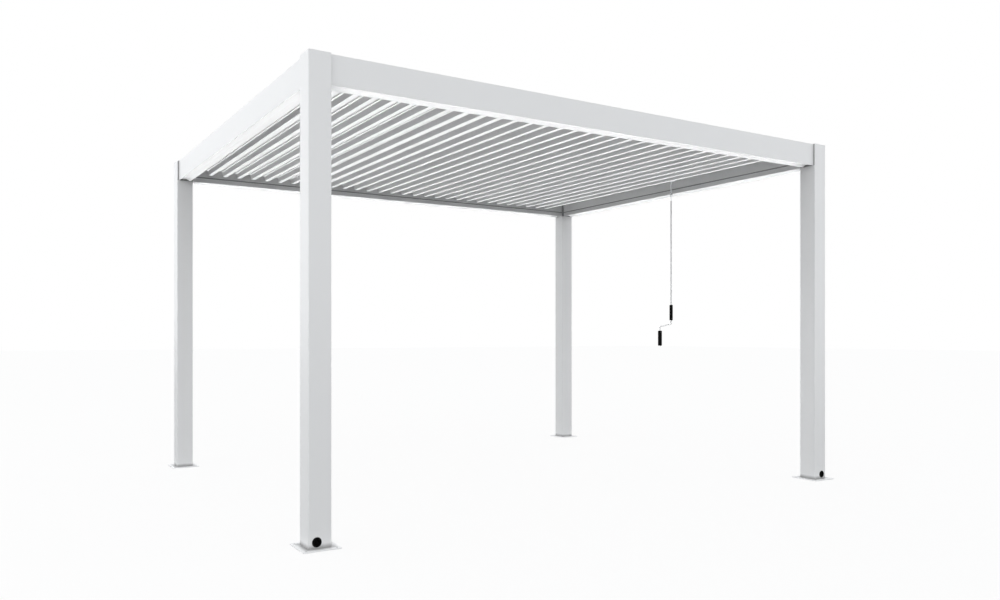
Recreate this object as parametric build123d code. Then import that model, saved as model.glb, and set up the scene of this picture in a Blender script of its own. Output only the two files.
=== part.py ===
from build123d import *
import math
import os

# Louvred roof pergola on four posts, with a hand crank that tilts the louvres.
# Millimetres, +Z up, origin on the ground at the middle of the plan.
# X runs along the long side, Y along the short side, which the louvres span.

# Overall frame
LENGTH = 4000
WIDTH = 3000
HEIGHT = 2440
POST = 120
POST_WALL = 3
POST_EDGE = 3
CAP_T = 2.5

# Beams between the posts: how far their faces stand inside the posts' faces, their height,
# and the recess in their undersides, whose far side slopes down to a flat rim
BEAM_INSET = 13
BEAM_SETBACK = 15
BEAM_H = 155
BEAM_WALL = 2.5
LEDGE_OUT = 3
RECESS_H = 14
RECESS_W = 60
RIM_W = 8

# Base plates on the ground
PLATE = 200
PLATE_T = 6
PLATE_CORNER = 4
PLATE_HOLE_R = 6
PLATE_HOLE_INSET = 20

# Drain outlets low on the posts
OUTLET_R = 25
OUTLET_T = 3
OUTLET_Z = 37
OUTLET_FROM_EDGE = 43
OUTLET_BORE_R = 16
SLEEVE_WALL = 3
SLEEVE_IN = 4

# Louvres, all alike, spread evenly between two margins beside the short beams
LOUVRES = 30
MARGIN_LEFT = 138
MARGIN_RIGHT = 133
LOUVRE_DROP = 92.5
BLADE_FLAT = 39
BLADE_WALL_H = 41
BLADE_SKIN = 1.5
BLADE_END_T = 2
LIP = 12
LIP_T = 2.5
LAP = 6.7
LAP_GAP = 5
BLADE_END_GAP = 8
PIVOT_X = 48
PIVOT_Z = 24
PIVOT_PIN_R = 4
PIN_IN_BEAM = 6.5
RUNNING = 0.05

# Link bar over the louvres and the arms that carry it
ARM_X = 80
BAR_OVER_WING = 18
ARM_T = 4
ARM_R = 8
LINK_PIN_R = 3
PIN_OUT = 3
SIDE_GAP = 2
BAR_T = 5
BAR_H = 16
LEVER_SHAFT_R = 5
LEVER_FROM_BEAM = 90

# Gearbox on the right beam, and the eye under it
CRANK_FROM_BEAM = 40
CRANK_Y = -137
GEARBOX_DROP = 4.5
GEARBOX_H = 40
GEARBOX_W = 52
GEARBOX_NOSE = 14
GEARBOX_GAP = 6
SHAFT_FROM_TOP = 25
SHAFT_DEPTH = 14
EYE_SHAFT_R = 5
EYE_SHAFT_IN = 18
EYE_DROP = 106
EYE_RING_R = 11
EYE_WIRE_R = 4

# Crank, from the hook down
HOOK_RING_R = 12
HOOK_WIRE_R = 3.5
HOOK_GAP = 0.3
NECK_R = 4
NECK_L = 40.8
ROD_R = 5.5
ROD_L = 905
UPPER_GRIP_L = 133
UPPER_GRIP_R = 14
GRIP_TO_BEND = 33
BEND_DROP = 22
BEND_R = 9
BEND_TO_GRIP = 58
HANDLE_OFFSET = 97
HANDLE_TURN = 149.6
HANDLE_R = 4
LOWER_GRIP_L = 129
LOWER_GRIP_R = 17
COLLAR_R = 8
COLLAR_T = 3
COLLAR_GAP = 0.5

# Places that follow from the sizes above
POST_X = (LENGTH - POST) / 2
POST_Y = (WIDTH - POST) / 2
POST_TOP = HEIGHT - CAP_T
BEAM_T = POST - BEAM_INSET - BEAM_SETBACK
BEAM_BOTTOM = POST_TOP - BEAM_H
INNER_X = LENGTH / 2 - BEAM_INSET - BEAM_T
INNER_Y = WIDTH / 2 - BEAM_INSET - BEAM_T
SPAN_X = LENGTH - 2 * POST
SPAN_Y = WIDTH - 2 * POST
CORNERS = [(-1, -1), (1, -1), (-1, 1), (1, 1)]

PITCH = (2 * INNER_X - MARGIN_LEFT - MARGIN_RIGHT) / LOUVRES
BLADE_Z = POST_TOP - LOUVRE_DROP
BLADE_TOP = BLADE_WALL_H + LIP_T
WING_TOP = BLADE_TOP + LAP_GAP + LIP_T
WING_END = PITCH - LIP + LAP
BLADE_HALF = INNER_Y - BLADE_END_GAP
PIN_END = INNER_Y + BEAM_WALL + PIN_IN_BEAM
PIVOT_HEIGHT = BLADE_Z + PIVOT_Z

ARM_Z = WING_TOP + BAR_OVER_WING - PIVOT_Z
GEARBOX_TOP = POST_TOP - GEARBOX_DROP
GEARBOX_BOTTOM = GEARBOX_TOP - GEARBOX_H
GEARBOX_FACE_Y = CRANK_Y + GEARBOX_W / 2
CRANK_X = INNER_X - CRANK_FROM_BEAM
LEVER_X = INNER_X - LEVER_FROM_BEAM
LEVER_Z = GEARBOX_TOP - SHAFT_FROM_TOP
LINK_Y = GEARBOX_FACE_Y + GEARBOX_GAP + ARM_T / 2
BAR_Y = LINK_Y + ARM_T / 2 + SIDE_GAP
LINK_PIN_END = BAR_Y + BAR_T + PIN_OUT

EYE_RING_Z = GEARBOX_BOTTOM - EYE_DROP
SWING_Z = EYE_RING_Z - EYE_RING_R
HOOK_Z = SWING_Z + EYE_WIRE_R + HOOK_WIRE_R + HOOK_GAP - HOOK_RING_R
ROD_TOP = HOOK_Z - HOOK_RING_R - NECK_L
UPPER_GRIP_TOP = ROD_TOP - ROD_L
UPPER_GRIP_BOTTOM = UPPER_GRIP_TOP - UPPER_GRIP_L
BEND_Z = UPPER_GRIP_BOTTOM - GRIP_TO_BEND
LOWER_GRIP_TOP = BEND_Z - BEND_TO_GRIP
LOWER_GRIP_BOTTOM = LOWER_GRIP_TOP - LOWER_GRIP_L
HANDLE_X = HANDLE_OFFSET * math.cos(math.radians(HANDLE_TURN))
HANDLE_Y = HANDLE_OFFSET * math.sin(math.radians(HANDLE_TURN))


def wall_x(i):
    """X of the upright wall of louvre i, counted from 0 at the left."""
    return -INNER_X + MARGIN_LEFT + i * PITCH


def pivot_x(i):
    return wall_x(i) + PIVOT_X


def save(shape, node):
    export_step(shape, "parts/" + node + ".step")


def outline(*points):
    return make_face(Polyline(*points, close=True))


def along_y(section, y0, y1):
    """Pushes an XZ section from y0 to y1."""
    placed = Plane(origin=(0, y1, 0), x_dir=(1, 0, 0), z_dir=(0, -1, 0)) * section
    return extrude(placed, y1 - y0)


def pin_section(radius):
    """A six-sided pin, which turns inside a bore of bore_section."""
    return RegularPolygon(radius, 6)


def bore_section(radius, sides=6):
    """A bore whose flats clear a pin or shaft of this radius all the way round."""
    return RegularPolygon(radius + RUNNING, sides, major_radius=False)


def square_section(size, edge):
    return chamfer(Rectangle(size, size).vertices(), edge)


def sleeve_section():
    return RegularPolygon(OUTLET_BORE_R + SLEEVE_WALL, 12)


def posts():
    clear = POST - 2 * POST_WALL
    tube = extrude(square_section(POST, POST_EDGE) - Rectangle(clear, clear), POST_TOP - PLATE_T)
    made = []
    for sx, sy in CORNERS:
        post = Pos(sx * POST_X, sy * POST_Y, PLATE_T) * tube
        hole = Pos(sx * (LENGTH / 2 - OUTLET_FROM_EDGE), OUTLET_Z) * sleeve_section()
        middle = sy * (WIDTH - POST_WALL) / 2
        made.append(post - along_y(hole, middle - POST_WALL, middle + POST_WALL))
    return Compound(made)


def post_caps():
    cap = extrude(square_section(POST, POST_EDGE), CAP_T)
    return Compound([Pos(sx * POST_X, sy * POST_Y, POST_TOP) * cap for sx, sy in CORNERS])


def base_plates():
    flat = square_section(PLATE, PLATE_CORNER)
    place = PLATE / 2 - PLATE_HOLE_INSET
    for sx, sy in CORNERS:
        flat -= Pos(sx * place, sy * place) * Circle(PLATE_HOLE_R)
    plate = extrude(flat, PLATE_T)
    return Compound([Pos(sx * POST_X, sy * POST_Y, 0) * plate for sx, sy in CORNERS])


def drain_outlets():
    bore = RegularPolygon(OUTLET_BORE_R, 12)
    face_y = WIDTH / 2
    front = along_y(RegularPolygon(OUTLET_R, 24) - bore, -face_y - OUTLET_T, -face_y)
    one = front + along_y(sleeve_section() - bore, -face_y, -face_y + POST_WALL + SLEEVE_IN)
    made = []
    for sx, sy in CORNERS:
        turned = one if sy < 0 else mirror(one, Plane.XZ)
        made.append(Pos(sx * (LENGTH / 2 - OUTLET_FROM_EDGE), 0, OUTLET_Z) * turned)
    return Compound(made)


def beam_section():
    """Section of a beam, recessed underneath: x from its outer face inward, y up from its underside."""
    wall = BEAM_WALL
    ledge = BEAM_T + LEDGE_OUT
    rim = BEAM_T - RIM_W
    shift = wall * math.tan(math.atan2(RECESS_H, rim - RECESS_W) / 2)
    outer = outline(
        (0, 0),
        (wall, 0),
        (wall, RECESS_H),
        (RECESS_W, RECESS_H),
        (rim, 0),
        (BEAM_T, 0),
        (BEAM_T, 13),
        (ledge - 1.5, 15),
        (ledge, 33),
        (BEAM_T - 1, 34),
        (BEAM_T - 1, 40),
        (BEAM_T, 41),
        (BEAM_T, BEAM_H),
        (0, BEAM_H),
    )
    inner = outline(
        (wall, RECESS_H + wall),
        (RECESS_W + shift, RECESS_H + wall),
        (rim + shift, wall),
        (BEAM_T - wall, wall),
        (BEAM_T - wall, BEAM_H - wall),
        (wall, BEAM_H - wall),
    )
    return outer - inner


def beam(length, outer_face):
    """A beam along X with its outer face at y = -outer_face."""
    origin = (-length / 2, -outer_face, BEAM_BOTTOM)
    return extrude(Plane(origin=origin, x_dir=(0, 1, 0), z_dir=(1, 0, 0)) * beam_section(), length)


def long_beams():
    front = beam(SPAN_X, WIDTH / 2 - BEAM_INSET)
    bores = [Pos(pivot_x(i), PIVOT_HEIGHT) * bore_section(PIVOT_PIN_R) for i in range(LOUVRES)]
    front -= along_y(Sketch(bores), -INNER_Y - BEAM_WALL - 1, -INNER_Y + LEDGE_OUT + 1)
    return Compound([front, mirror(front, Plane.XZ)])


def short_beams():
    right = Rot(0, 0, 90) * beam(SPAN_Y, LENGTH / 2 - BEAM_INSET)
    return Compound([right, mirror(right, Plane.YZ)])


def flashings():
    """Fixed strips that close the roof beside the first and the last louvre."""
    low = BLADE_Z + BLADE_WALL_H
    lip_edge = wall_x(LOUVRES) - LIP
    right = outline(
        (lip_edge, low),
        (INNER_X, low),
        (INNER_X, low + 30),
        (INNER_X - LIP_T, low + 30),
        (INNER_X - LIP_T, low + LIP_T),
        (lip_edge, low + LIP_T),
    )
    high = low + LIP_T + LAP_GAP
    wing_edge = wall_x(0) - LAP_GAP
    left = outline(
        (-INNER_X, high),
        (wing_edge, high),
        (wing_edge, high + LIP_T),
        (-INNER_X + LIP_T, high + LIP_T),
        (-INNER_X + LIP_T, high + 30),
        (-INNER_X, high + 30),
    )
    half = SPAN_Y / 2
    gearbox_back = CRANK_Y - GEARBOX_W / 2
    return Compound(
        [
            along_y(right, -half, gearbox_back - GEARBOX_GAP),
            along_y(right, LINK_Y + ARM_T / 2 + GEARBOX_GAP, half),
            along_y(left, -half, half),
        ]
    )


def wing_x(share):
    """X at a share of the way from the flat's edge to the wing's end."""
    return BLADE_FLAT + share * (WING_END - BLADE_FLAT)


def blade_sections():
    """Outer and inner section of a louvre, from the foot of its upright wall."""
    t = BLADE_SKIN
    under = WING_TOP - LIP_T
    outer = outline(
        (0, 0),
        (BLADE_FLAT, 0),
        (wing_x(0.29), 0.41 * under),
        (wing_x(0.56), 0.74 * under),
        (wing_x(0.81), under),
        (WING_END, under),
        (WING_END, WING_TOP),
        (wing_x(0.7), WING_TOP),
        (4, BLADE_TOP),
        (-LIP, BLADE_TOP),
        (-LIP, BLADE_WALL_H),
        (-5, BLADE_WALL_H),
        (0, BLADE_WALL_H - 5),
    )
    inner = outline(
        (t, t),
        (BLADE_FLAT - 0.4 * t, t),
        (wing_x(0.29) - 0.6 * t, 0.41 * under + 0.8 * t),
        (wing_x(0.56) - 0.6 * t, 0.74 * under + 0.8 * t),
        (wing_x(0.67), 0.9 * under),
        (wing_x(0.67), WING_TOP - 1.2 * t),
        (4, BLADE_TOP - t),
        (t, BLADE_TOP - t),
    )
    return outer, inner


def louvre():
    """One louvre with its pivot pins, link arm and link pin, wall foot at x = 0, z = 0."""
    outer, inner = blade_sections()
    hollow_end = BLADE_HALF - BLADE_END_T
    body = along_y(outer, -BLADE_HALF, BLADE_HALF) - along_y(inner, -hollow_end, hollow_end)
    pivot = Pos(PIVOT_X, PIVOT_Z) * pin_section(PIVOT_PIN_R)
    body += along_y(pivot, -PIN_END, -BLADE_HALF + 1)
    body += along_y(pivot, BLADE_HALF - 1, PIN_END)
    x = PIVOT_X + ARM_X
    z = PIVOT_Z + ARM_Z
    arm = outline(
        (WING_END - 36, WING_TOP - 3),
        (WING_END - 4, WING_TOP - 1),
        (x + 0.7 * ARM_R, z - 0.7 * ARM_R),
        (x + ARM_R, z + 0.3 * ARM_R),
        (x + 0.3 * ARM_R, z + ARM_R),
        (x - 0.7 * ARM_R, z + 0.7 * ARM_R),
    )
    body += along_y(arm, LINK_Y - ARM_T / 2, LINK_Y + ARM_T / 2)
    body += along_y(Pos(x, z) * pin_section(LINK_PIN_R), LINK_Y, LINK_PIN_END)
    return body


def flat_arm(x0, z0, x1, z1):
    """Flat arm between two centres, with cut corners at both ends."""
    length = math.hypot(x1 - x0, z1 - z0)
    turn = math.degrees(math.atan2(z1 - z0, x1 - x0))
    strip = chamfer(Rectangle(length + 2 * ARM_R, 2 * ARM_R).vertices(), 0.6 * ARM_R)
    return Pos((x0 + x1) / 2, (z0 + z1) / 2) * Rot(0, 0, turn) * strip


def link_bar():
    z = PIVOT_HEIGHT + ARM_Z
    x0 = pivot_x(0) + ARM_X
    x1 = pivot_x(LOUVRES - 1) + ARM_X
    end_x = LEVER_X + ARM_X
    end_z = LEVER_Z + ARM_Z
    flat = Pos((x0 + x1) / 2, z) * Rectangle(x1 - x0 + 30, BAR_H)
    flat += flat_arm(x1 + 12, z, end_x, end_z)
    flat -= [Pos(pivot_x(i) + ARM_X, z) * bore_section(LINK_PIN_R) for i in range(LOUVRES)]
    flat -= Pos(end_x, end_z) * bore_section(LINK_PIN_R)
    return along_y(flat, BAR_Y, BAR_Y + BAR_T)


def drive_lever():
    end_x = LEVER_X + ARM_X
    end_z = LEVER_Z + ARM_Z
    arm = along_y(flat_arm(LEVER_X, LEVER_Z, end_x, end_z), LINK_Y - ARM_T / 2, LINK_Y + ARM_T / 2)
    pin = along_y(Pos(end_x, end_z) * pin_section(LINK_PIN_R), LINK_Y, LINK_PIN_END)
    shaft = along_y(Pos(LEVER_X, LEVER_Z) * Circle(LEVER_SHAFT_R), GEARBOX_FACE_Y - SHAFT_DEPTH, LINK_Y)
    return arm + pin + shaft


def gearbox():
    x0 = LEVER_X - GEARBOX_NOSE
    middle = Pos((INNER_X + x0) / 2, CRANK_Y, (GEARBOX_TOP + GEARBOX_BOTTOM) / 2)
    body = middle * Box(INNER_X - x0, GEARBOX_W, GEARBOX_H)
    shaft_bore = Pos(LEVER_X, LEVER_Z) * bore_section(LEVER_SHAFT_R, 8)
    body -= along_y(shaft_bore, GEARBOX_FACE_Y - SHAFT_DEPTH - 1, GEARBOX_FACE_Y + 1)
    eye_bore = extrude(bore_section(EYE_SHAFT_R, 8), EYE_SHAFT_IN + 2)
    return body - Pos(CRANK_X, CRANK_Y, GEARBOX_BOTTOM - 1) * eye_bore


def wire_ring(radius, wire_radius):
    """A twelve-sided ring of six-sided wire about the Z axis, its middle plane at z = 0."""
    half_flat = wire_radius * math.cos(math.radians(30))
    slope = 30 * math.cos(math.radians(15))
    upper = extrude(RegularPolygon(radius + wire_radius, 12), half_flat, taper=slope)
    upper -= extrude(RegularPolygon(radius - wire_radius, 12), half_flat, taper=-slope)
    return upper + mirror(upper, Plane.XY)


def eye():
    """Gearbox input shaft with the ring that the crank hooks into."""
    place = Pos(CRANK_X, CRANK_Y, EYE_RING_Z)
    shaft_l = EYE_DROP - EYE_RING_R + EYE_SHAFT_IN
    shaft = place * Pos(0, 0, EYE_RING_R) * extrude(Circle(EYE_SHAFT_R), shaft_l)
    return shaft + place * Rot(0, 90, 0) * wire_ring(EYE_RING_R, EYE_WIRE_R)


def collar(x, y, z):
    return Pos(CRANK_X + x, CRANK_Y + y, z) * extrude(RegularPolygon(COLLAR_R, 12), COLLAR_T)


def crank_rod():
    """Hook ring, long rod, two bends and the offset handle."""
    place = Pos(CRANK_X, CRANK_Y, 0)
    hook = place * Pos(0, 0, HOOK_Z) * Rot(90, 0, 0) * wire_ring(HOOK_RING_R, HOOK_WIRE_R)
    neck = place * Pos(0, 0, ROD_TOP - 5) * extrude(Circle(NECK_R), NECK_L + 5)
    upper = place * Pos(0, 0, BEND_Z + BEND_R) * extrude(Circle(ROD_R), ROD_TOP - BEND_Z - BEND_R)
    path = FilletPolyline(
        (0, 0, UPPER_GRIP_BOTTOM),
        (0, 0, BEND_Z),
        (HANDLE_X, HANDLE_Y, BEND_Z - BEND_DROP),
        (HANDLE_X, HANDLE_Y, LOWER_GRIP_BOTTOM - COLLAR_GAP - COLLAR_T / 2),
        radius=BEND_R,
    )
    bent = place * sweep(Plane(path @ 0, z_dir=path % 0) * RegularPolygon(HANDLE_R, 8), path=path)
    rod = hook + neck + upper + bent
    rod += collar(0, 0, UPPER_GRIP_TOP + COLLAR_GAP)
    rod += collar(0, 0, UPPER_GRIP_BOTTOM - COLLAR_GAP - COLLAR_T)
    rod += collar(HANDLE_X, HANDLE_Y, LOWER_GRIP_TOP + COLLAR_GAP)
    rod += collar(HANDLE_X, HANDLE_Y, LOWER_GRIP_BOTTOM - COLLAR_GAP - COLLAR_T)
    return rod


def grip(x, y, bottom, length, radius, rod_radius):
    """A plain tube that turns on the rod."""
    tube = Circle(radius) - bore_section(rod_radius, 12)
    return Pos(CRANK_X + x, CRANK_Y + y, bottom) * extrude(tube, length)


os.makedirs("parts", exist_ok=True)
save(posts(), "posts")
save(post_caps(), "post_caps")
save(base_plates(), "base_plates")
save(drain_outlets(), "drain_outlets")
save(long_beams(), "long_beams")
save(short_beams(), "short_beams")
save(flashings(), "flashings")
blade = louvre()
for i in range(LOUVRES):
    save(Pos(wall_x(i), 0, BLADE_Z) * blade, "louvre_%02d" % (i + 1))
save(link_bar(), "link_bar")
save(drive_lever(), "drive_lever")
save(gearbox(), "gearbox")
save(eye(), "eye")
save(crank_rod(), "crank_rod")
save(grip(0, 0, UPPER_GRIP_BOTTOM, UPPER_GRIP_L, UPPER_GRIP_R, ROD_R), "upper_grip")
save(grip(HANDLE_X, HANDLE_Y, LOWER_GRIP_BOTTOM, LOWER_GRIP_L, LOWER_GRIP_R, HANDLE_R), "lower_grip")
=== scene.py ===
import math

import bmesh
import bpy
from mathutils import Matrix, Vector


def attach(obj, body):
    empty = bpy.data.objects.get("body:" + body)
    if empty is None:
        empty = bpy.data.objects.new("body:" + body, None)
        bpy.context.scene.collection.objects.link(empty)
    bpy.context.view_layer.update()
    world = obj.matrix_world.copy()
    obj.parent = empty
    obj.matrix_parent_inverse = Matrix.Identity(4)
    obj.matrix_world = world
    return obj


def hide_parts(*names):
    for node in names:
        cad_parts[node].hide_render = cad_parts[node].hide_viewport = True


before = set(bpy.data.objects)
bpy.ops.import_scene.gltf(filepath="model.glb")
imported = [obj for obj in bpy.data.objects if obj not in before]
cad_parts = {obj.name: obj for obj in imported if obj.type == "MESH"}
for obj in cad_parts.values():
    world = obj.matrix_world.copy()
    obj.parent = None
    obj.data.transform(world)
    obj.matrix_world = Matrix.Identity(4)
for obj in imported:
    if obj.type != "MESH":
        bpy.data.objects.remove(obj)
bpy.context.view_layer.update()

# Metres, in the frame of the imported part: +Z up, X along the long side, Y along the louvres.
# The crank hangs at +X, and -Y is the front.

LENGTH, WIDTH, HEIGHT = 4.0, 3.0, 2.44
CORNERS = [(-1, -1), (1, -1), (-1, 1), (1, 1)]

POST, POST_CORNER = 0.12, 0.003
CAP_T, CAP_RIM = 0.0025, 0.0006
POST_TOP = HEIGHT - CAP_T
POST_PLACES = [(sx * (LENGTH - POST) / 2, sy * (WIDTH - POST) / 2) for sx, sy in CORNERS]

PLATE, PLATE_T, PLATE_CORNER, PLATE_RIM = 0.2, 0.006, 0.004, 0.0008
BOLT_HOLE_R, BOLT_HOLE_OUT = 0.006, 0.08

OUTLET_X, OUTLET_Z, OUTLET_HOLE_R = LENGTH / 2 - 0.043, 0.037, 0.019
GRILLE_BAR, GRILLE_BACK = (0.031, 0.002, 0.003), 0.0035

BEAM_INSET, BEAM_T, BEAM_H, BEAM_WALL, BEAM_EDGE = 0.013, 0.092, 0.155, 0.0025, 0.0008
BEAM_BOTTOM = POST_TOP - BEAM_H
INNER_X = LENGTH / 2 - BEAM_INSET - BEAM_T
INNER_Y = WIDTH / 2 - BEAM_INSET - BEAM_T
RECESS_H, RECESS_W, RECESS_SLOPE, RIM_W, RIM_RISE = 0.014, 0.060, 0.020, 0.008, 0.002
GROOVE_LOW, GROOVE_HIGH, GROOVE_DEEP, GROOVE_SLOPE = 0.0355, 0.0455, 0.0015, 0.0005
# A dark grey strip sunk in each beam's groove: painted shade that stands in for the groove's shadow.
SHADE_STRIP_SUNK, SHADE_STRIP_T, SHADE_STRIP_GAP, SHADE_STRIP_EDGE = 0.0006, 0.002, 0.0002, 0.0004

LOUVRES, PITCH, FIRST_WALL = 30, 0.1173, -1.757
BLADE_Z, BLADE_HALF, BLADE_EDGE = 2.345, 1.387, 0.0006
PIVOT_X, PIVOT_Z, PIVOT_R, PIVOT_END = 0.048, 0.024, 0.004, INNER_Y + 0.009
PIN_SUNK = 0.001
ARM_X, ARM_Z, ARM_T, ARM_EDGE = 0.08, 0.045, 0.004, 0.0004
LINK_Y, LINK_PIN_R, LINK_PIN_END = -0.103, 0.003, -0.091

STRIP_T, STRIP_UPSTAND, STRIP_EDGE, STRIP_RISE = 0.0025, 0.03, 0.0005, 0.0155
STRIP_Z = BLADE_Z + 0.041
LEFT_STRIP_Z = STRIP_Z + STRIP_T + 0.005
RIGHT_STRIP_EDGE = FIRST_WALL + LOUVRES * PITCH - 0.012
LEFT_STRIP_EDGE = FIRST_WALL - 0.005
GEARBOX_BAY = (-0.169, -0.095)

CRANK_X, CRANK_Y = 1.855, -0.137
GEARBOX_NOSE, GEARBOX_W, GEARBOX_LOW, GEARBOX_HIGH = 1.791, 0.052, 2.393, 2.433
GEARBOX_CORNER, GEARBOX_RIM = 0.006, 0.0015
SCREW_IN, SCREW_OUT = 0.011, 0.018

RING_Z, EYE_SHAFT_R, EYE_RING_R, EYE_WIRE_R = 2.287, 0.005, 0.011, 0.004
HOOK_Z, HOOK_RING_R, HOOK_WIRE_R, NECK_R = 2.2718, 0.012, 0.0035, 0.004
ROD_TOP, ROD_R, HANDLE_R = 2.219, 0.0055, 0.004
BEND_Z, BEND_R, BEND_DROP = 1.148, 0.009, 0.022
THROW, THROW_ANGLE = 0.097, math.radians(149.6)
THROW_X, THROW_Y = THROW * math.cos(THROW_ANGLE), THROW * math.sin(THROW_ANGLE)
COLLAR_R, COLLAR_T, COLLAR_GAP = 0.008, 0.003, 0.0005
UPPER_GRIP, UPPER_GRIP_R = (1.181, 1.314), 0.014
LOWER_GRIP, LOWER_GRIP_R = (0.961, 1.090), 0.017

# How far up the post and out over the plate the painted contact shadow at each post's foot reaches.
FOOT_SHADE_UP, FOOT_SHADE_OUT = 0.028, 0.038
TOUCH = 1e-6


class Value:
    """A shader socket that takes part in arithmetic: each operation adds its Math node."""

    def __init__(self, finish, socket):
        self.finish = finish
        self.socket = socket

    def _math(self, operation, first, second):
        return self.finish.add("ShaderNodeMath", {"operation": operation}, {0: first, 1: second})

    def __add__(self, other):
        return self._math("ADD", self, other)

    def __radd__(self, other):
        return self._math("ADD", other, self)

    def __sub__(self, other):
        return self._math("SUBTRACT", self, other)

    def __rsub__(self, other):
        return self._math("SUBTRACT", other, self)

    def __mul__(self, other):
        return self._math("MULTIPLY", self, other)

    def __rmul__(self, other):
        return self._math("MULTIPLY", other, self)

    def __neg__(self):
        return self._math("MULTIPLY", self, -1.0)

    def __abs__(self):
        return self._math("ABSOLUTE", self, 0.0)

    def larger(self, other):
        return self._math("MAXIMUM", self, other)


class Finish:
    """The node tree of a material, or of the world, built one node at a time."""

    def __init__(self, name, owners=bpy.data.materials):
        self.owner = owners.new(name)
        self.owner.use_nodes = True
        self.tree = self.owner.node_tree
        self.tree.nodes.clear()

    def add(self, kind, settings=None, sockets=None, out=0):
        """Adds a node, sets it, then fills its sockets, and returns the output asked for."""
        node = self.tree.nodes.new(kind)
        for name, value in (settings or {}).items():
            setattr(node, name, value)
        for name, value in (sockets or {}).items():
            if isinstance(value, Value):
                self.tree.links.new(value.socket, node.inputs[name])
            else:
                node.inputs[name].default_value = value
        return Value(self, node.outputs[out]) if node.outputs else None

    def clamp(self, value, low, high):
        """0 where value is under low, 1 where it is over high, smooth between."""
        settings = {"interpolation_type": "SMOOTHSTEP"}
        return self.add("ShaderNodeMapRange", settings, {0: value, 1: low, 2: high, 3: 0.0, 4: 1.0})

    def place(self, stretch=(1, 1, 1)):
        """Object coordinates, stretched."""
        where = self.add("ShaderNodeTexCoord", out=3)
        return self.add("ShaderNodeMapping", {}, {0: where, "Scale": stretch})

    def noise(self, where, scale, detail=3.0, rough=0.5):
        sockets = {"Vector": where, "Scale": scale, "Detail": detail, "Roughness": rough}
        return self.add("ShaderNodeTexNoise", {}, sockets)

    def blend(self, share, first, second):
        settings = {"data_type": "RGBA"}
        return self.add("ShaderNodeMix", settings, {0: share, 6: first, 7: second}, out=2)

    def relief(self, height, depth):
        return self.add("ShaderNodeBump", {}, {"Height": height, "Strength": 0.6, "Distance": depth})

    def surface(self, **sockets):
        names = {key.replace("_", " "): value for key, value in sockets.items()}
        shader = self.add("ShaderNodeBsdfPrincipled", {}, names)
        self.add("ShaderNodeOutputMaterial", {}, {"Surface": shader})
        return self.owner


def shade(level, warm=0.0):
    """A near-white or grey colour; warm below zero leans it to blue."""
    return (level * (1 + warm), level, level * (1 - warm), 1.0)


def painted_shade_mask(finish, where, strength):
    """Painted shade: a painted contact shadow round each post's foot, and painted shade on the post in the
    reveal beside the beams' ends.
    """
    x, y, height = (finish.add("ShaderNodeSeparateXYZ", {}, {0: where}, out=i) for i in range(3))
    away_x = abs(x) - LENGTH / 2
    away_y = abs(y) - WIDTH / 2
    out_x = abs(abs(x) - (LENGTH - POST) / 2)
    out_y = abs(abs(y) - (WIDTH - POST) / 2)
    away = out_x.larger(out_y) - POST / 2
    # Painted contact shadow round each post's foot: darkest at the foot, fading up the post and out over
    # the plate, broken up by streaky noise.
    streak = finish.noise(finish.place((1, 1, 0.15)), 38.0, 4.0, 0.6)
    low = 1.0 - finish.clamp(height, PLATE_T, PLATE_T + FOOT_SHADE_UP)
    near = 1.0 - finish.clamp(away, 0.0, FOOT_SHADE_OUT)
    foot = low * near * (0.6 + streak * 0.5) * strength

    # Painted shade on the post's face in the narrow reveal beside each beam's end, from the beams'
    # underside up.
    top = finish.clamp(height, BEAM_BOTTOM - 0.004, BEAM_BOTTOM + 0.004)
    side = POST - 0.0015, POST - 0.0005
    beside_x = finish.clamp(-away_x, *side) * finish.clamp(-away_y, 0.0, 0.004)
    beside_y = finish.clamp(-away_y, *side) * finish.clamp(-away_x, 0.0, 0.004)
    return foot.larger(top * beside_x.larger(beside_y) * 0.75)


def powder_coat(name, level, painted_shade_strength=0.0):
    """White powder coat: fine orange peel and faint cloudiness, with painted shade on posts and plates when
    asked for.
    """
    finish = Finish(name)
    where = finish.place()
    cloud = finish.noise(where, 3.1, 4.0)
    grain = finish.noise(where, 620.0, 2.0)
    colour = finish.blend(cloud, shade(level * 0.985, -0.004), shade(level, -0.002))
    # Painted shade: the coat is blended to dark grey where the mask stands in for contact shadow and reveal
    # shade.
    if painted_shade_strength:
        colour = finish.blend(painted_shade_mask(finish, where, painted_shade_strength), colour, shade(0.2, 0.01))
    return finish.surface(
        Base_Color=colour,
        Roughness=0.36 + cloud * 0.08,
        Normal=finish.relief(grain, 0.00025),
    )


def brushed_metal(name, level, rough, grain_along=2, wear=0.5):
    """Metal drawn along one axis: fine lines, small changes of gloss, a few dull spots."""
    finish = Finish(name)
    stretch = [160.0, 160.0, 160.0]
    stretch[grain_along] = 3.0
    lines = finish.noise(finish.place(stretch), 4.0, 3.0, 0.6)
    spots = finish.noise(finish.place(), 55.0, 4.0, 0.6)
    dull = finish.clamp(spots, 0.52, 0.75)
    colour = finish.blend(dull * wear, shade(level, -0.01), shade(level * 0.72, 0.01))
    return finish.surface(
        Base_Color=colour,
        Metallic=0.9,
        Roughness=rough + lines * 0.14 + dull * wear * 0.2,
        Normal=finish.relief(lines, 0.0001),
    )


def painted_rod(name):
    """Pale grey lacquer over steel tube."""
    finish = Finish(name)
    cloud = finish.noise(finish.place((1, 1, 0.2)), 60.0, 3.0)
    rub = finish.clamp(finish.noise(finish.place(), 130.0, 4.0, 0.65), 0.62, 0.8)
    colour = finish.blend(rub * 0.25, shade(0.74, -0.004), shade(0.6, 0.0))
    return finish.surface(
        Base_Color=colour,
        Metallic=rub * 0.2,
        Roughness=0.3 + cloud * 0.12,
        Normal=finish.relief(cloud, 0.00008),
    )


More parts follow.
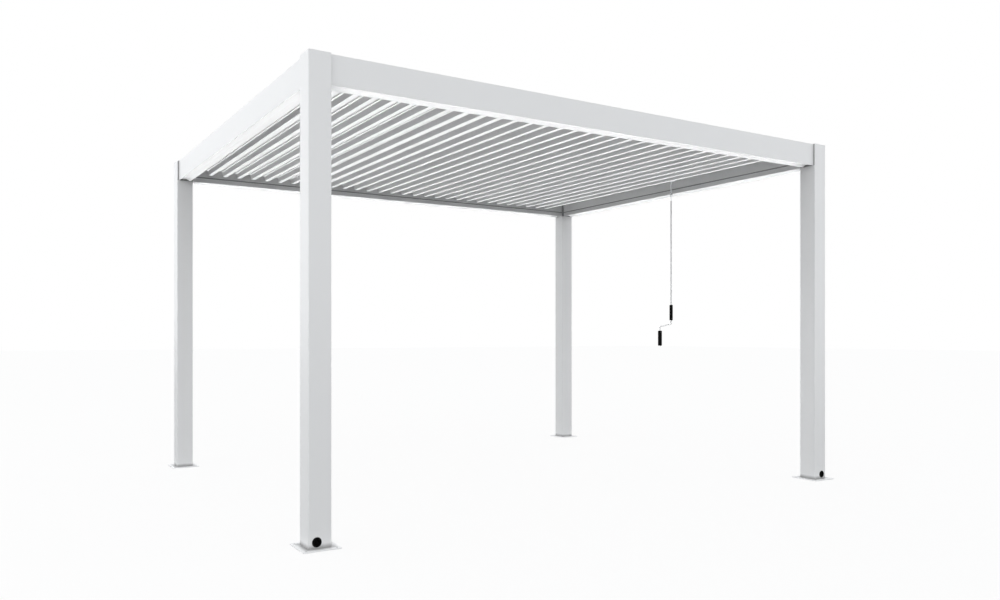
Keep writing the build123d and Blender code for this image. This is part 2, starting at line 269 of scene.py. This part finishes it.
def moulded_plastic(name, level):
    """Dark plastic with a fine moulded grain and rubbed high spots."""
    finish = Finish(name)
    where = finish.place()
    grain = finish.noise(where, 900.0, 2.0)
    worn = finish.clamp(finish.noise(where, 40.0, 4.0, 0.6), 0.5, 0.75)
    colour = finish.blend(worn * 0.5, shade(level), shade(level * 1.1 + 0.004))
    return finish.surface(
        Base_Color=colour,
        Specular_IOR_Level=0.06,
        Roughness=0.5 + worn * 0.12,
        Normal=finish.relief(grain, 0.0002),
    )


WHITE = powder_coat("white_powder_coat", 0.78)
# The posts' coat carries painted shade at their feet and in the reveals beside the beams.
WHITE_POST_SHADED = powder_coat("white_powder_coat_post_painted_shade", 0.78, painted_shade_strength=0.9)
# The plates' coat is a lighter copy of the same white, painted light for their brighter tops, with painted
# contact shadow round each post.
WHITE_PLATE_LIT_SHADED = powder_coat("white_powder_coat_plate_painted_light_and_shade", 0.9, painted_shade_strength=0.9)
CASE = powder_coat("gearbox_lacquer", 0.72)
LINK_METAL = brushed_metal("link_aluminium", 0.72, 0.34, grain_along=0)
STEEL = brushed_metal("zinc_plated_steel", 0.8, 0.4)
POLISHED = brushed_metal("polished_steel", 0.95, 0.04, wear=0.1)
ROD = painted_rod("rod_lacquer")
BLACK = moulded_plastic("black_plastic", 0.003)
# Dark grey moulding for the groove strips, painted shade for the groove's shadow.
GROOVE_SHADE_GREY = moulded_plastic("painted_groove_shade", 0.3)


def write(form, name, material, body, replaces=None, smooth=40.0):
    """Turns a bmesh into a piece that rides on a body, shaded smooth up to an angle."""
    mesh = bpy.data.meshes.new(name)
    form.to_mesh(mesh)
    form.free()
    mesh.materials.append(material)
    piece = bpy.data.objects.new(name, mesh)
    bpy.context.scene.collection.objects.link(piece)
    mesh.shade_smooth()
    mesh.set_sharp_from_angle(angle=math.radians(smooth))
    even = piece.modifiers.new("normals", "WEIGHTED_NORMAL")
    even.keep_sharp = True
    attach(piece, body)
    if replaces:
        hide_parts(replaces)
    return piece


def cut(piece, cutters):
    """Takes a bmesh of cutting forms out of a piece for good."""
    mesh = bpy.data.meshes.new("cutters")
    cutters.to_mesh(mesh)
    cutters.free()
    tool = bpy.data.objects.new("cutters", mesh)
    bpy.context.scene.collection.objects.link(tool)
    change = piece.modifiers.new("holes", "BOOLEAN")
    change.object = tool
    change.operation = "DIFFERENCE"
    change.solver = "EXACT"
    even = piece.modifiers["normals"]
    even.show_viewport = False
    bpy.context.view_layer.update()
    done = bpy.data.meshes.new_from_object(piece.evaluated_get(bpy.context.evaluated_depsgraph_get()))
    even.show_viewport = True
    piece.modifiers.remove(change)
    piece.data = done
    done.shade_smooth()
    done.set_sharp_from_angle(angle=math.radians(40))
    bpy.data.objects.remove(tool)


def merge(form, other):
    """Adds a finished bmesh to another, and frees it."""
    mesh = bpy.data.meshes.new("part")
    other.to_mesh(mesh)
    other.free()
    form.from_mesh(mesh)
    bpy.data.meshes.remove(mesh)


def round_edges(form, edges, radius, segments=2):
    bmesh.ops.bevel(
        form, geom=list(edges), offset=radius, offset_type="OFFSET", segments=segments,
        profile=0.5, affect="EDGES", material=-1, clamp_overlap=True,
    )


def along(edge, axis):
    """True for an edge that runs along an axis, 0 to 2."""
    run = edge.verts[1].co - edge.verts[0].co
    return abs(run[axis]) > 0.999 * run.length


def block(size, centre, corner=0.0, rim=0.0):
    """A block with its upright edges rounded by corner, then its top and bottom edges by rim."""
    form = bmesh.new()
    bmesh.ops.create_cube(form, size=1.0)
    bmesh.ops.scale(form, vec=size, verts=form.verts)
    bmesh.ops.translate(form, vec=centre, verts=form.verts)
    if corner:
        round_edges(form, [e for e in form.edges if along(e, 2)], corner, 4)
    if rim:
        ends = []
        for edge in form.edges:
            first, second = (v.co.z for v in edge.verts)
            if abs(first - second) < TOUCH and abs(abs(first - centre[2]) - size[2] / 2) < TOUCH:
                ends.append(edge)
        round_edges(form, ends, rim)
    return form


def prism(section, axis, start, end, edge):
    """Pushes a closed section along X or Y; the section's points are the two other axes in order."""
    form = bmesh.new()
    corners = []
    for a, b in section:
        corners.append(form.verts.new((start, a, b) if axis == 0 else (a, start, b)))
    face = form.faces.new(corners)
    pushed = bmesh.ops.extrude_face_region(form, geom=[face])["geom"]
    step = Vector((end - start, 0, 0) if axis == 0 else (0, end - start, 0))
    bmesh.ops.translate(form, vec=step, verts=[g for g in pushed if isinstance(g, bmesh.types.BMVert)])
    bmesh.ops.recalc_face_normals(form, faces=form.faces)
    round_edges(form, [e for e in form.edges if along(e, axis)], edge)
    return form


def full_turn(form, steps):
    """Spins what a form holds a full turn about Z and closes its seam and poles."""
    bmesh.ops.spin(
        form, geom=form.verts[:] + form.edges[:], cent=(0, 0, 0), axis=(0, 0, 1),
        angle=math.tau, steps=steps, use_merge=True,
    )
    bmesh.ops.remove_doubles(form, verts=form.verts, dist=TOUCH)
    bmesh.ops.recalc_face_normals(form, faces=form.faces)


def stand(form, axis, centre):
    """Lays a form's own Z along X, Y or Z, and moves it to its centre."""
    turn = Matrix()
    if axis == 0:
        turn = Matrix.Rotation(math.pi / 2, 4, "Y")
    elif axis == 1:
        turn = Matrix.Rotation(-math.pi / 2, 4, "X")
    bmesh.ops.transform(form, matrix=Matrix.Translation(centre) @ turn, verts=form.verts)
    return form


def lathe(profile, axis, centre, steps):
    """Spins a profile of (radius, height) points a full turn about an axis through centre."""
    form = bmesh.new()
    row = [form.verts.new((r, 0, h)) for r, h in profile]
    for a, b in zip(row, row[1:]):
        form.edges.new((a, b))
    full_turn(form, steps)
    return stand(form, axis, centre)


def rod(radius, axis, centre, low, high, edge, steps):
    """A round rod between two heights along an axis, with small bevelled ends."""
    profile = [
        (0, low), (radius - edge, low), (radius, low + edge),
        (radius, high - edge), (radius - edge, high), (0, high),
    ]
    return lathe(profile, axis, centre, steps)


def ring(radius, wire, axis, centre):
    """A round ring of round wire."""
    form = bmesh.new()
    bmesh.ops.create_circle(form, cap_ends=False, segments=14, radius=wire)
    bmesh.ops.rotate(form, cent=(0, 0, 0), matrix=Matrix.Rotation(math.pi / 2, 3, "X"), verts=form.verts)
    bmesh.ops.translate(form, vec=(radius, 0, 0), verts=form.verts)
    full_turn(form, 40)
    return stand(form, axis, centre)


def bridge_rings(form, rings):
    """Joins rings of edges in order, and turns the faces outwards."""
    for a, b in zip(rings, rings[1:]):
        bmesh.ops.bridge_loops(form, edges=list(a | b))
    bmesh.ops.recalc_face_normals(form, faces=form.faces)


def bent_path(corners, radius, steps=8):
    """Points along straight runs joined by arcs."""
    path = [Vector(corners[0])]
    for before, corner, after in zip(corners, corners[1:], corners[2:]):
        corner = Vector(corner)
        back = (Vector(before) - corner).normalized()
        ahead = (Vector(after) - corner).normalized()
        half = back.angle(ahead) / 2
        centre = corner + (back + ahead).normalized() * (radius / math.sin(half))
        first = corner + back * (radius / math.tan(half)) - centre
        turn = first.rotation_difference(corner + ahead * (radius / math.tan(half)) - centre)
        for k in range(steps + 1):
            part = turn.copy()
            part.angle = turn.angle * k / steps
            path.append(centre + part @ first)
    path.append(Vector(corners[-1]))
    return path


def tube(path, radius, segments=16):
    """A round bar along a path in the crank's plane, closed at both ends."""
    form = bmesh.new()
    rings = []
    last = len(path) - 1
    side = Vector((THROW_Y, -THROW_X, 0)).normalized()
    for k, point in enumerate(path):
        ahead = (path[min(k + 1, last)] - path[max(k - 1, 0)]).normalized()
        turn = Matrix((side, ahead.cross(side), ahead)).transposed().to_4x4()
        made = bmesh.ops.create_circle(
            form, cap_ends=k in (0, last), segments=segments, radius=radius,
            matrix=Matrix.Translation(point) @ turn,
        )
        rings.append({e for v in made["verts"] for e in v.link_edges})
    bridge_rings(form, rings)
    return form


def ridged_grip(x, y, low, high, radius, ridges, depth):
    """A moulded grip with rounded ends and shallow ridges along it."""
    form = bmesh.new()
    rings = []
    tall = high - low
    ends = [(0, 0.86), (0.0012, 0.95), (0.004, 1)]
    for z, size in ends + [(tall - z, size) for z, size in reversed(ends)]:
        made = bmesh.ops.create_circle(
            form, cap_ends=z in (0, tall), segments=ridges * 2, radius=radius * size,
        )["verts"]
        bmesh.ops.scale(form, vec=(1 - depth / radius, 1 - depth / radius, 1), verts=made[::2])
        bmesh.ops.translate(form, vec=(0, 0, z), verts=made)
        rings.append({e for v in made for e in v.link_edges})
    bridge_rings(form, rings)
    bmesh.ops.translate(form, vec=(x, y, low), verts=form.verts)
    return form


def make_posts():
    form = bmesh.new()
    caps = bmesh.new()
    cutters = bmesh.new()
    for x, y in POST_PLACES:
        height = POST_TOP - PLATE_T
        merge(form, block((POST, POST, height), (x, y, (POST_TOP + PLATE_T) / 2), POST_CORNER))
        merge(caps, block((POST, POST, CAP_T), (x, y, POST_TOP + CAP_T / 2), POST_CORNER, CAP_RIM))
    for sx, sy in CORNERS:
        inner, outer = sorted((sy * (WIDTH / 2 - 0.02), sy * (WIDTH / 2 + 0.01)))
        merge(cutters, rod(OUTLET_HOLE_R, 1, (sx * OUTLET_X, 0, OUTLET_Z), inner, outer, 0.0, 36))
    tubes = write(form, "post_tubes", WHITE_POST_SHADED, "frame", "posts")
    cut(tubes, cutters)
    write(caps, "cap_plates", WHITE, "frame", "post_caps")


def make_plates():
    form = bmesh.new()
    cutters = bmesh.new()
    for x, y in POST_PLACES:
        merge(form, block((PLATE, PLATE, PLATE_T), (x, y, PLATE_T / 2), PLATE_CORNER, PLATE_RIM))
        for hx, hy in CORNERS:
            hole = (x + hx * BOLT_HOLE_OUT, y + hy * BOLT_HOLE_OUT, 0)
            merge(cutters, rod(BOLT_HOLE_R, 2, hole, -0.01, 0.02, 0.0, 20))
    plates = write(form, "foot_plates", WHITE_PLATE_LIT_SHADED, "frame", "base_plates")
    cut(plates, cutters)


def make_outlets():
    """Round black drain outlets: a domed flange and a sleeve, with a grille of bars set back in it."""
    flange = [
        (0.0, -0.0065), (0.0155, -0.0065), (0.016, 0.0016), (0.0168, 0.0026), (0.0215, 0.003),
        (0.024, 0.0022), (0.025, 0.0008), (0.025, 0.0), (0.0188, 0.0), (0.0188, -0.007), (0.0, -0.007),
    ]
    form = bmesh.new()
    for sx, sy in CORNERS:
        one = lathe(flange, 2, (0, 0, 0), 36)
        for turn in range(0, 180, 45):
            bar = block(GRILLE_BAR, (0, 0, -GRILLE_BACK))
            spoke = Matrix.Rotation(math.radians(turn), 3, "Z")
            bmesh.ops.rotate(bar, cent=(0, 0, 0), matrix=spoke, verts=bar.verts)
            merge(one, bar)
        facing = Matrix.Rotation(-sy * math.pi / 2, 4, "X")
        centre = Matrix.Translation((sx * OUTLET_X, sy * WIDTH / 2, OUTLET_Z))
        bmesh.ops.transform(one, matrix=centre @ facing, verts=one.verts)
        merge(form, one)
    write(form, "outlet_rings", BLACK, "frame", "drain_outlets")


def beam_section():
    """A beam's section: distance in from the outer face, height above the underside."""
    floor = BEAM_T - GROOVE_DEEP
    return [
        (0, 0), (BEAM_WALL, 0), (BEAM_WALL + RECESS_SLOPE, RECESS_H), (RECESS_W, RECESS_H),
        (BEAM_T - RIM_W, 0), (BEAM_T, RIM_RISE),
        (BEAM_T, GROOVE_LOW), (floor, GROOVE_LOW + GROOVE_SLOPE),
        (floor, GROOVE_HIGH - GROOVE_SLOPE), (BEAM_T, GROOVE_HIGH),
        (BEAM_T, BEAM_H), (0, BEAM_H),
    ]


def groove_shade_section():
    """The section of the dark grey strip in a beam's groove, painted shade that stands in for the groove's
    shadow, measured as the beam's is.
    """
    outer = BEAM_T - SHADE_STRIP_SUNK
    low = GROOVE_LOW + GROOVE_SLOPE + SHADE_STRIP_GAP
    high = GROOVE_HIGH - GROOVE_SLOPE - SHADE_STRIP_GAP
    return [(outer, low), (outer - SHADE_STRIP_T, low), (outer - SHADE_STRIP_T, high), (outer, high)]


def make_beams():
    groove_shade_strips = bmesh.new()
    for name, axis, span, face, replaced in (
        ("long_beam_profiles", 0, LENGTH / 2 - POST, WIDTH / 2 - BEAM_INSET, "long_beams"),
        ("short_beam_profiles", 1, WIDTH / 2 - POST, LENGTH / 2 - BEAM_INSET, "short_beams"),
    ):
        beams = bmesh.new()
        for side in (-1, 1):
            for form, section, edge in (
                (beams, beam_section(), BEAM_EDGE),
                (groove_shade_strips, groove_shade_section(), SHADE_STRIP_EDGE),
            ):
                placed = [(side * (face - d), BEAM_BOTTOM + z) for d, z in section]
                merge(form, prism(placed, axis, -span, span, edge))
        write(beams, name, WHITE, "frame", replaced)
    # The dark grey groove strips: painted shade standing in for the groove's shadow.
    write(groove_shade_strips, "painted_groove_shade_strips", GROOVE_SHADE_GREY, "frame")


def make_edge_strips():
    """The strips that close the roof beside the first and the last louvre."""
    t = STRIP_T
    beam_z = STRIP_Z + STRIP_RISE
    right = [
        (RIGHT_STRIP_EDGE, STRIP_Z), (INNER_X, beam_z), (INNER_X, beam_z + STRIP_UPSTAND),
        (INNER_X - t, beam_z + STRIP_UPSTAND), (INNER_X - t, beam_z + t), (RIGHT_STRIP_EDGE, STRIP_Z + t),
    ]
    low = LEFT_STRIP_Z
    left = [
        (-INNER_X, low), (LEFT_STRIP_EDGE, low), (LEFT_STRIP_EDGE, low + t), (-INNER_X + t, low + t),
        (-INNER_X + t, low + STRIP_UPSTAND), (-INNER_X, low + STRIP_UPSTAND),
    ]
    half = WIDTH / 2 - POST
    near, far = GEARBOX_BAY
    form = bmesh.new()
    for section, start, end in ((right, -half, near), (right, far, half), (left, -half, half)):
        merge(form, prism(section, 1, start, end, STRIP_EDGE))
    write(form, "edge_strips", WHITE, "frame", "flashings")


def blade_section():
    """A louvre's section from the foot of its upright wall."""
    return [
        (0.004, 0), (0.0355, 0), (0.044, 0.0085), (0.0575, 0.0199), (0.069, 0.029), (0.0799, 0.0359),
        (0.0981, 0.0485), (0.112, 0.0485), (0.112, 0.051), (0.0901, 0.051), (0.004, 0.0435),
        (-0.0115, 0.0435), (-0.0115, 0.0365), (0.0012, 0.0365),
    ]


def arm_section():
    """The section of a link arm, from the wall's foot: its root in the blade, then round its pin."""
    x, z = PIVOT_X + ARM_X, PIVOT_Z + ARM_Z
    head = [(0.0056, -0.0056), (0.008, 0.0024), (0.0024, 0.008), (-0.0056, 0.0056)]
    return [(0.076, 0.048), (0.108, 0.050)] + [(x + a, z + b) for a, b in head]


def make_louvres():
    pin_start = BLADE_HALF - PIN_SUNK
    for i in range(LOUVRES):
        number = "%02d" % (i + 1)
        foot = FIRST_WALL + i * PITCH
        form = bmesh.new()
        for section, start, end, edge in (
            (blade_section(), -BLADE_HALF, BLADE_HALF, BLADE_EDGE),
            (arm_section(), LINK_Y - ARM_T / 2, LINK_Y + ARM_T / 2, ARM_EDGE),
        ):
            placed = [(foot + x, BLADE_Z + z) for x, z in section]
            merge(form, prism(placed, 1, start, end, edge))
        pivot = (foot + PIVOT_X, 0, BLADE_Z + PIVOT_Z)
        for start, end in ((-PIVOT_END, -pin_start), (pin_start, PIVOT_END)):
            merge(form, rod(PIVOT_R, 1, pivot, start, end, 0.0005, 16))
        body = "louvre_" + number
        write(form, "louvre_blade_" + number, WHITE, body, body)
        link = (pivot[0] + ARM_X, 0, pivot[2] + ARM_Z)
        pin = rod(LINK_PIN_R, 1, link, LINK_Y, LINK_PIN_END, 0.0004, 16)
        write(pin, "link_pin_" + number, STEEL, body)


def make_eye_and_hook():
    shaft = (CRANK_X, CRANK_Y, 0)
    eye = rod(EYE_SHAFT_R, 2, shaft, RING_Z + EYE_RING_R, GEARBOX_LOW + 0.018, 0.0005, 24)
    merge(eye, ring(EYE_RING_R, EYE_WIRE_R, 0, (CRANK_X, CRANK_Y, RING_Z)))
    write(eye, "eye_ring", POLISHED, "eye", "eye")
    hook = ring(HOOK_RING_R, HOOK_WIRE_R, 1, (CRANK_X, CRANK_Y, HOOK_Z))
    merge(hook, rod(NECK_R, 2, shaft, ROD_TOP - 0.004, HOOK_Z - 0.0105, 0.0003, 16))
    write(hook, "hook_ring", POLISHED, "crank_rod")


def make_crank():
    """The hanging rod with its bend and collars, and the two grips that turn on it."""
    hand_x, hand_y = CRANK_X + THROW_X, CRANK_Y + THROW_Y
    form = rod(ROD_R, 2, (CRANK_X, CRANK_Y, 0), BEND_Z + BEND_R, ROD_TOP, 0.0012, 24)
    for x, y, (low, high) in ((CRANK_X, CRANK_Y, UPPER_GRIP), (hand_x, hand_y, LOWER_GRIP)):
        for z in (high + COLLAR_GAP, low - COLLAR_GAP - COLLAR_T):
            merge(form, rod(COLLAR_R, 2, (x, y, 0), z, z + COLLAR_T, 0.0007, 24))
    corners = [
        (CRANK_X, CRANK_Y, UPPER_GRIP[0]), (CRANK_X, CRANK_Y, BEND_Z),
        (hand_x, hand_y, BEND_Z - BEND_DROP), (hand_x, hand_y, LOWER_GRIP[0] - 0.002),
    ]
    merge(form, tube(bent_path(corners, BEND_R), HANDLE_R))
    write(form, "crank_bar", ROD, "crank_rod", "crank_rod")
    grip = ridged_grip(CRANK_X, CRANK_Y, *UPPER_GRIP, UPPER_GRIP_R, 24, 0.0005)
    write(grip, "upper_grip_moulding", BLACK, "upper_grip", "upper_grip", 50.0)
    grip = ridged_grip(hand_x, hand_y, *LOWER_GRIP, LOWER_GRIP_R, 16, 0.0009)
    write(grip, "lower_grip_moulding", BLACK, "lower_grip", "lower_grip", 50.0)


def make_gearbox():
    """The gearbox case: a rounded block, a collar round the eye's shaft and four cover screws."""
    size = (INNER_X - GEARBOX_NOSE, GEARBOX_W, GEARBOX_HIGH - GEARBOX_LOW)
    middle = ((INNER_X + GEARBOX_NOSE) / 2, CRANK_Y, (GEARBOX_LOW + GEARBOX_HIGH) / 2)
    form = block(size, middle, GEARBOX_CORNER, GEARBOX_RIM)
    collar = [(0.0052, 0), (0.010, 0), (0.010, -0.0018), (0.0055, -0.0022), (0.0052, 0)]
    merge(form, lathe(collar, 2, (CRANK_X, CRANK_Y, GEARBOX_LOW + 0.0005), 24))
    screw = [
        (0, -0.0012), (0.0012, -0.0012), (0.0015, -0.0018), (0.003, -0.0012), (0.0032, 0.0004), (0, 0.0004),
    ]
    for x in (GEARBOX_NOSE + SCREW_IN, INNER_X - SCREW_IN):
        for y in (CRANK_Y - SCREW_OUT, CRANK_Y + SCREW_OUT):
            merge(form, lathe(screw, 2, (x, y, GEARBOX_LOW), 16))
    write(form, "gearbox_case", CASE, "frame", "gearbox")


def finish_cad_nodes():
    """Gives the CAD nodes that show as they are their material."""
    for node in ("link_bar", "drive_lever"):
        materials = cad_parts[node].data.materials
        materials.clear()
        materials.append(LINK_METAL)


def make_floor():
    """A pale floor that keeps the shadow: the camera sees it near white, other rays see it darker."""
    form = bmesh.new()
    bmesh.ops.create_grid(form, x_segments=1, y_segments=1, size=60.0)
    mesh = bpy.data.meshes.new("floor")
    form.to_mesh(mesh)
    form.free()
    floor = bpy.data.objects.new("floor", mesh)
    bpy.context.scene.collection.objects.link(floor)
    floor.location = (0, 0, -0.0005)
    finish = Finish("pale_floor")
    seen = finish.add("ShaderNodeLightPath", out=0)
    ground = finish.blend(seen, shade(0.22), shade(0.9))
    bare = finish.add("ShaderNodeBsdfDiffuse", {}, {"Color": ground, "Roughness": 0.0})
    glow = finish.add("ShaderNodeEmission", {}, {"Color": shade(1.0), "Strength": 1.0})
    shown = finish.add("ShaderNodeMixShader", {}, {0: seen * 0.88, 1: bare, 2: glow})
    finish.add("ShaderNodeOutputMaterial", {}, {"Surface": shown})
    mesh.materials.append(finish.owner)


def make_world():
    """White behind for the camera, and a soft light that is brighter near the horizon than overhead."""
    studio = Finish("studio", bpy.data.worlds)
    upward = studio.add("ShaderNodeSeparateXYZ", {}, {0: studio.add("ShaderNodeTexCoord")}, out=2)
    strength = 1.74 - studio.clamp(upward, 0.25, 0.85) * 1.15
    soft = studio.add("ShaderNodeBackground", {}, {"Color": (0.97, 0.985, 1.0, 1.0), "Strength": strength})
    backdrop = studio.add("ShaderNodeBackground", {}, {"Color": shade(1.0), "Strength": 1.0})
    seen = studio.add("ShaderNodeLightPath", out=0)
    both = studio.add("ShaderNodeMixShader", {}, {0: seen, 1: soft, 2: backdrop})
    studio.add("ShaderNodeOutputWorld", {}, {"Surface": both})
    bpy.context.scene.world = studio.owner


def lamp(name, place, aim, size, radiance, spread=180.0, bounces=1024):
    """A soft rectangular lamp of a given brightness, aimed at a point, that the camera doesn't see."""
    light = bpy.data.lights.new(name, "AREA")
    light.shape = "RECTANGLE"
    light.size, light.size_y = size
    light.energy = radiance * math.pi * size[0] * size[1]
    light.spread = math.radians(spread)
    light.cycles.max_bounces = bounces
    holder = bpy.data.objects.new(name, light)
    holder.location = place
    direction = Vector(aim) - Vector(place)
    holder.rotation_euler = direction.to_track_quat("-Z", "Y").to_euler()
    holder.visible_camera = False
    bpy.context.scene.collection.objects.link(holder)


def make_lamps():
    """Two narrow lamps from below, that light what faces down and little else, and three soft ones."""
    up, wide = (0, 0, 3), (16.0, 15.0)
    lamp("under_light", (0, 0, 0.002), up, wide, 0.36, spread=8.0, bounces=1)
    lamp("under_fill", (0, 0, 0.0025), up, wide, 0.80, spread=8.0, bounces=0)
    lamp("left_light", (-9.0, -1.0, 2.6), (0, 0, 1.0), (8.0, 5.2), 0.8)
    lamp("left_low_light", (-8.0, 0.5, 0.85), (0, 0.3, 0.9), (7.0, 1.7), 0.48)
    lamp("front_light", (7.5, -6.5, 0.95), (1.4, 0, 0.8), (7.0, 1.8), 0.75)


def make_camera():
    """The photograph's view: level, with its frame shifted instead of tilted."""
    camera = bpy.data.cameras.new("camera")
    camera.sensor_width = 36.0
    camera.sensor_fit = "HORIZONTAL"
    camera.lens = 29.0818
    camera.shift_x = 0.0640
    camera.shift_y = 0.0362
    camera.clip_end = 200.0
    viewer = bpy.data.objects.new("camera", camera)
    viewer.location = (-3.4175, -5.2064, 1.0427)
    viewer.rotation_euler = (math.pi / 2, 0.0, 1.049 - math.pi / 2)
    bpy.context.scene.collection.objects.link(viewer)
    bpy.context.scene.camera = viewer


make_posts()
make_plates()
make_outlets()
make_beams()
make_edge_strips()
make_louvres()
make_eye_and_hook()
make_crank()
make_gearbox()
finish_cad_nodes()

make_floor()
make_world()
make_lamps()
make_camera()
bpy.context.scene.view_settings.view_transform = "Standard"
